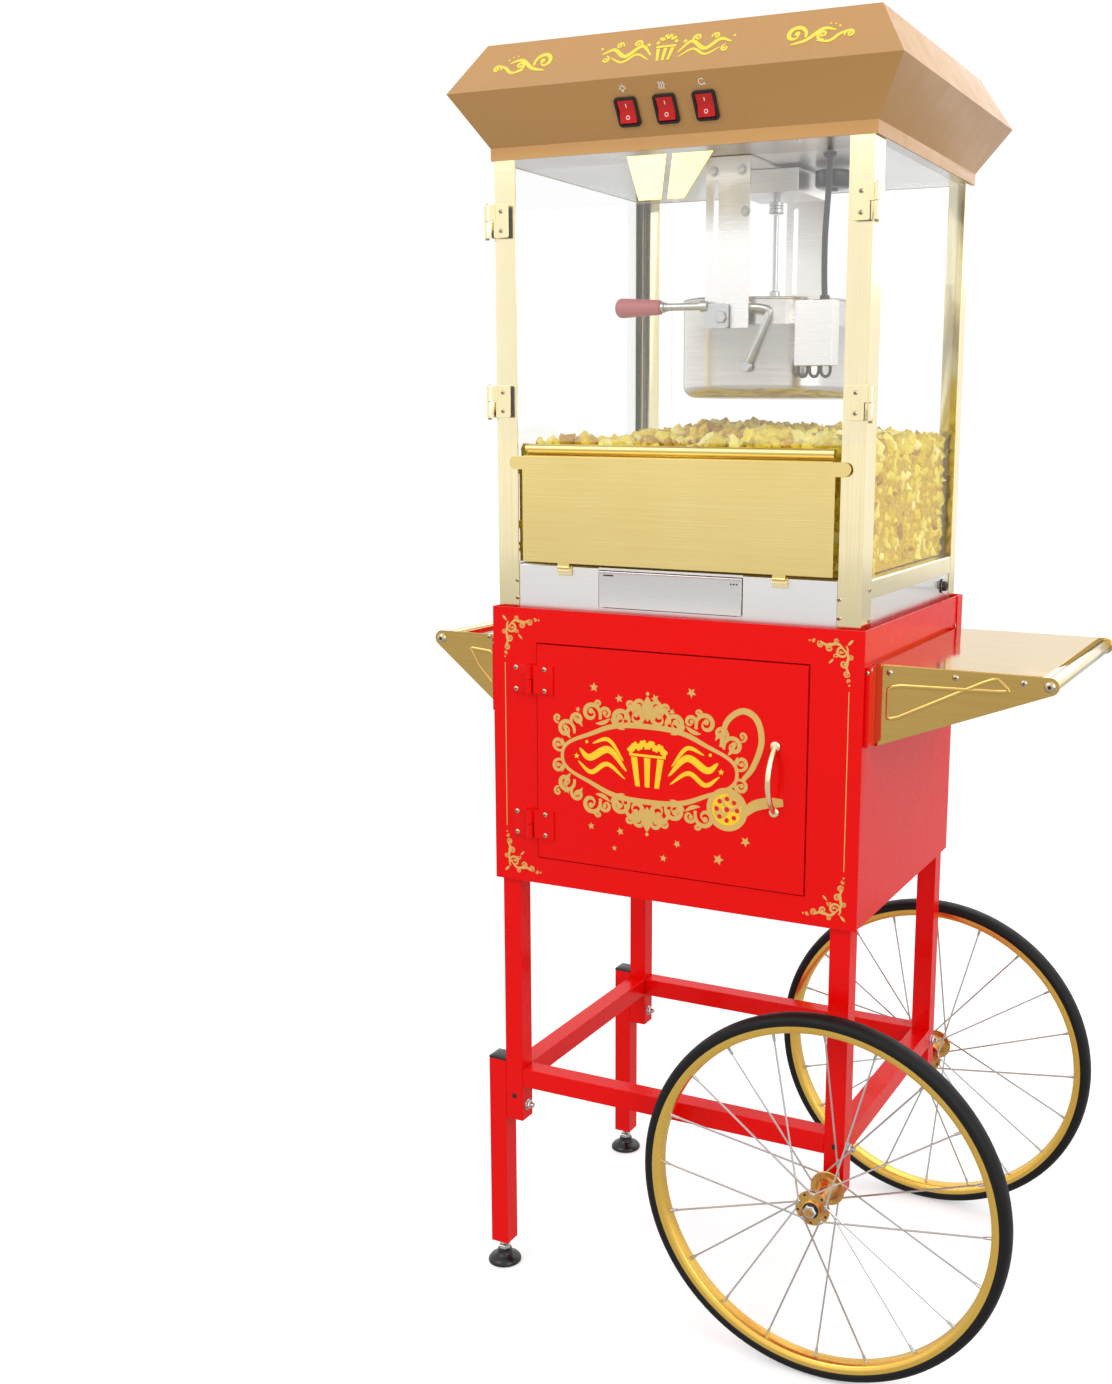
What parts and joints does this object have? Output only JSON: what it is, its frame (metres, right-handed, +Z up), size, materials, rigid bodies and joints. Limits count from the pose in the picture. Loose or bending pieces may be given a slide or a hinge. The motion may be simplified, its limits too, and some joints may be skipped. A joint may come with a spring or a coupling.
{
  "type": "popcorn maker cart",
  "caption": "Glass-sided popcorn maker with a tilting kettle under a flared hood, standing on a red cabinet cart with a side shelf, a push handle and spoked wheels.",
  "frame": {"origin": "middle of the footprint, on the ground under the wheels and feet", "axes": "+Z up, +X to the right as the front is faced, towards the shelf and wheels, +Y to the back"},
  "size_m": [0.7928, 0.5474, 1.542],
  "materials": {
    "red_paint": "gloss powder coat",
    "brushed_gold": "brushed, lacquered",
    "polished_gold": "polished, lacquered",
    "hood_paint": "satin metallic paint",
    "stainless": "fine brushed",
    "clear_panel": "clear",
    "tyre_rubber": "moulded",
    "black_plastic": "moulded",
    "wheel_gold": "satin anodised",
    "plated_axle": "zinc plated",
    "lens_red": "translucent gloss",
    "grip_red": "satin",
    "popped_corn": "dry, crisp",
    "lead_sleeve": "heat-resistant sleeve"
  },
  "bodies": {
    "frame": {"cabinet_front_frame": "red_paint", "cabinet_side_left": "red_paint", "cabinet_side_right": "red_paint", "cabinet_back_and_floor": "red_paint", "cabinet_top_tray": "red_paint", "leg_front_left": "red_paint", "leg_front_right": "red_paint", "leg_rear_left": "red_paint", "leg_rear_right": "red_paint", "leg_extension_front": "red_paint", "leg_extension_rear": "red_paint", "cross_rail_front": "red_paint", "cross_rail_rear": "red_paint", "cross_rail_left": "red_paint", "cross_rail_right": "red_paint", "post_front_left": "polished_gold", "post_front_right": "polished_gold", "post_rear_left": "polished_gold", "post_rear_right": "polished_gold", "shelf_bar": "polished_gold", "shelf_plate": "polished_gold", "shelf_bracket_front": "polished_gold", "shelf_bracket_rear": "polished_gold", "handle_bar": "polished_gold", "handle_bracket_front": "polished_gold", "handle_bracket_rear": "polished_gold", "canopy": "hood_paint", "machine_base": "stainless", "ceiling_plate": "stainless", "kettle_hanger": "stainless", "gear_motor": "stainless", "glass_left": "clear_panel", "glass_right": "clear_panel", "glass_rear": "clear_panel", "axle_front": "plated_axle", "axle_rear": "plated_axle", "popcorn": "popped_corn", "kettle_lead": "lead_sleeve"},
    "cabinet_door": {"cabinet_door": "red_paint", "door_pull": "polished_gold"},
    "front_door_left": {"front_door_left": "clear_panel"},
    "front_door_right": {"front_door_right": "clear_panel"},
    "gate": {"gate": "brushed_gold"},
    "kernel_drawer": {"kernel_drawer": "stainless"},
    "kettle": {"kettle_pot": "stainless", "kettle_handle": "stainless", "handle_grip": "grip_red", "kettle_junction_box": "stainless"},
    "kettle_lid": {"kettle_lid": "stainless"},
    "stirrer": {"stirrer": "stainless"},
    "drive_shaft": {"drive_shaft": "stainless"},
    "rocker_1": {"rocker_1": "lens_red"},
    "rocker_2": {"rocker_2": "lens_red"},
    "rocker_3": {"rocker_3": "lens_red"},
    "wheel_front": {"tyre_front": "tyre_rubber", "spoked_wheel_front": "wheel_gold"},
    "wheel_rear": {"tyre_rear": "tyre_rubber", "spoked_wheel_rear": "wheel_gold"},
    "foot_front": {"levelling_foot_front": "black_plastic"},
    "foot_rear": {"levelling_foot_rear": "black_plastic"}
  },
  "joints": [
    {"name": "cabinet_door_swing", "type": "hinge", "parent": "frame", "child": "cabinet_door", "pos_m": [-0.23899, -0.2057, 0.711], "axis": [0, 0, -1], "range_deg": [0, 110]},
    {"name": "front_door_left_swing", "type": "hinge", "parent": "frame", "child": "front_door_left", "pos_m": [-0.29549, -0.1954, 1.245], "axis": [0, 0, -1], "range_deg": [0, 115]},
    {"name": "front_door_right_swing", "type": "hinge", "parent": "frame", "child": "front_door_right", "pos_m": [0.18451, -0.1954, 1.245], "axis": [0, 0, 1], "range_deg": [0, 115]},
    {"name": "gate_drop", "type": "hinge", "parent": "frame", "child": "gate", "pos_m": [-0.05349, -0.192, 0.94], "axis": [1, 0, 0], "range_deg": [0, 85]},
    {"name": "drawer_slide", "type": "slide", "parent": "frame", "child": "kernel_drawer", "axis": [0, -1, 0], "range_m": [0, 0.18]},
    {"name": "kettle_tilt", "type": "hinge", "parent": "frame", "child": "kettle", "pos_m": [-0.02349, 0.014, 1.234], "axis": [0, -1, 0], "range_deg": [0, 75], "deforming": ["kettle_lead"]},
    {"name": "kettle_lid_lift", "type": "hinge", "parent": "kettle", "child": "kettle_lid", "pos_m": [-0.02149, 0.014, 1.2606], "axis": [0, 1, 0], "range_deg": [0, 80]},
    {"name": "drive_spin", "type": "hinge", "parent": "frame", "child": "drive_shaft", "pos_m": [-0.01149, 0.014, 1.33], "axis": [0, 0, 1], "continuous": true},
    {"name": "stirrer_spin", "type": "hinge", "parent": "kettle", "child": "stirrer", "pos_m": [-0.01149, 0.014, 1.2], "axis": [0, 0, 1], "continuous": true},
    {"name": "rocker_1_press", "type": "hinge", "parent": "frame", "child": "rocker_1", "pos_m": [-0.10419, -0.2018, 1.45541], "axis": [1, 0, 0], "range_deg": [0, 14]},
    {"name": "rocker_2_press", "type": "hinge", "parent": "frame", "child": "rocker_2", "pos_m": [-0.05669, -0.2018, 1.45541], "axis": [1, 0, 0], "range_deg": [0, 14]},
    {"name": "rocker_3_press", "type": "hinge", "parent": "frame", "child": "rocker_3", "pos_m": [-0.00919, -0.2018, 1.45541], "axis": [1, 0, 0], "range_deg": [0, 14]},
    {"name": "wheel_front_spin", "type": "hinge", "parent": "frame", "child": "wheel_front", "pos_m": [0.16551, -0.235, 0.225], "axis": [0, 1, 0], "continuous": true},
    {"name": "wheel_rear_spin", "type": "hinge", "parent": "frame", "child": "wheel_rear", "pos_m": [0.16551, 0.235, 0.225], "axis": [0, 1, 0], "continuous": true},
    {"name": "foot_front_turn", "type": "hinge", "parent": "frame", "child": "foot_front", "pos_m": [-0.29629, -0.1845, 0.03], "axis": [0, 0, 1], "continuous": true},
    {"name": "foot_rear_turn", "type": "hinge", "parent": "frame", "child": "foot_rear", "pos_m": [-0.29629, 0.1745, 0.03], "axis": [0, 0, 1], "continuous": true}
  ],
  "couplings": [
    {"joint": "stirrer_spin", "follows": "drive_spin", "ratio": 1}
  ]
}
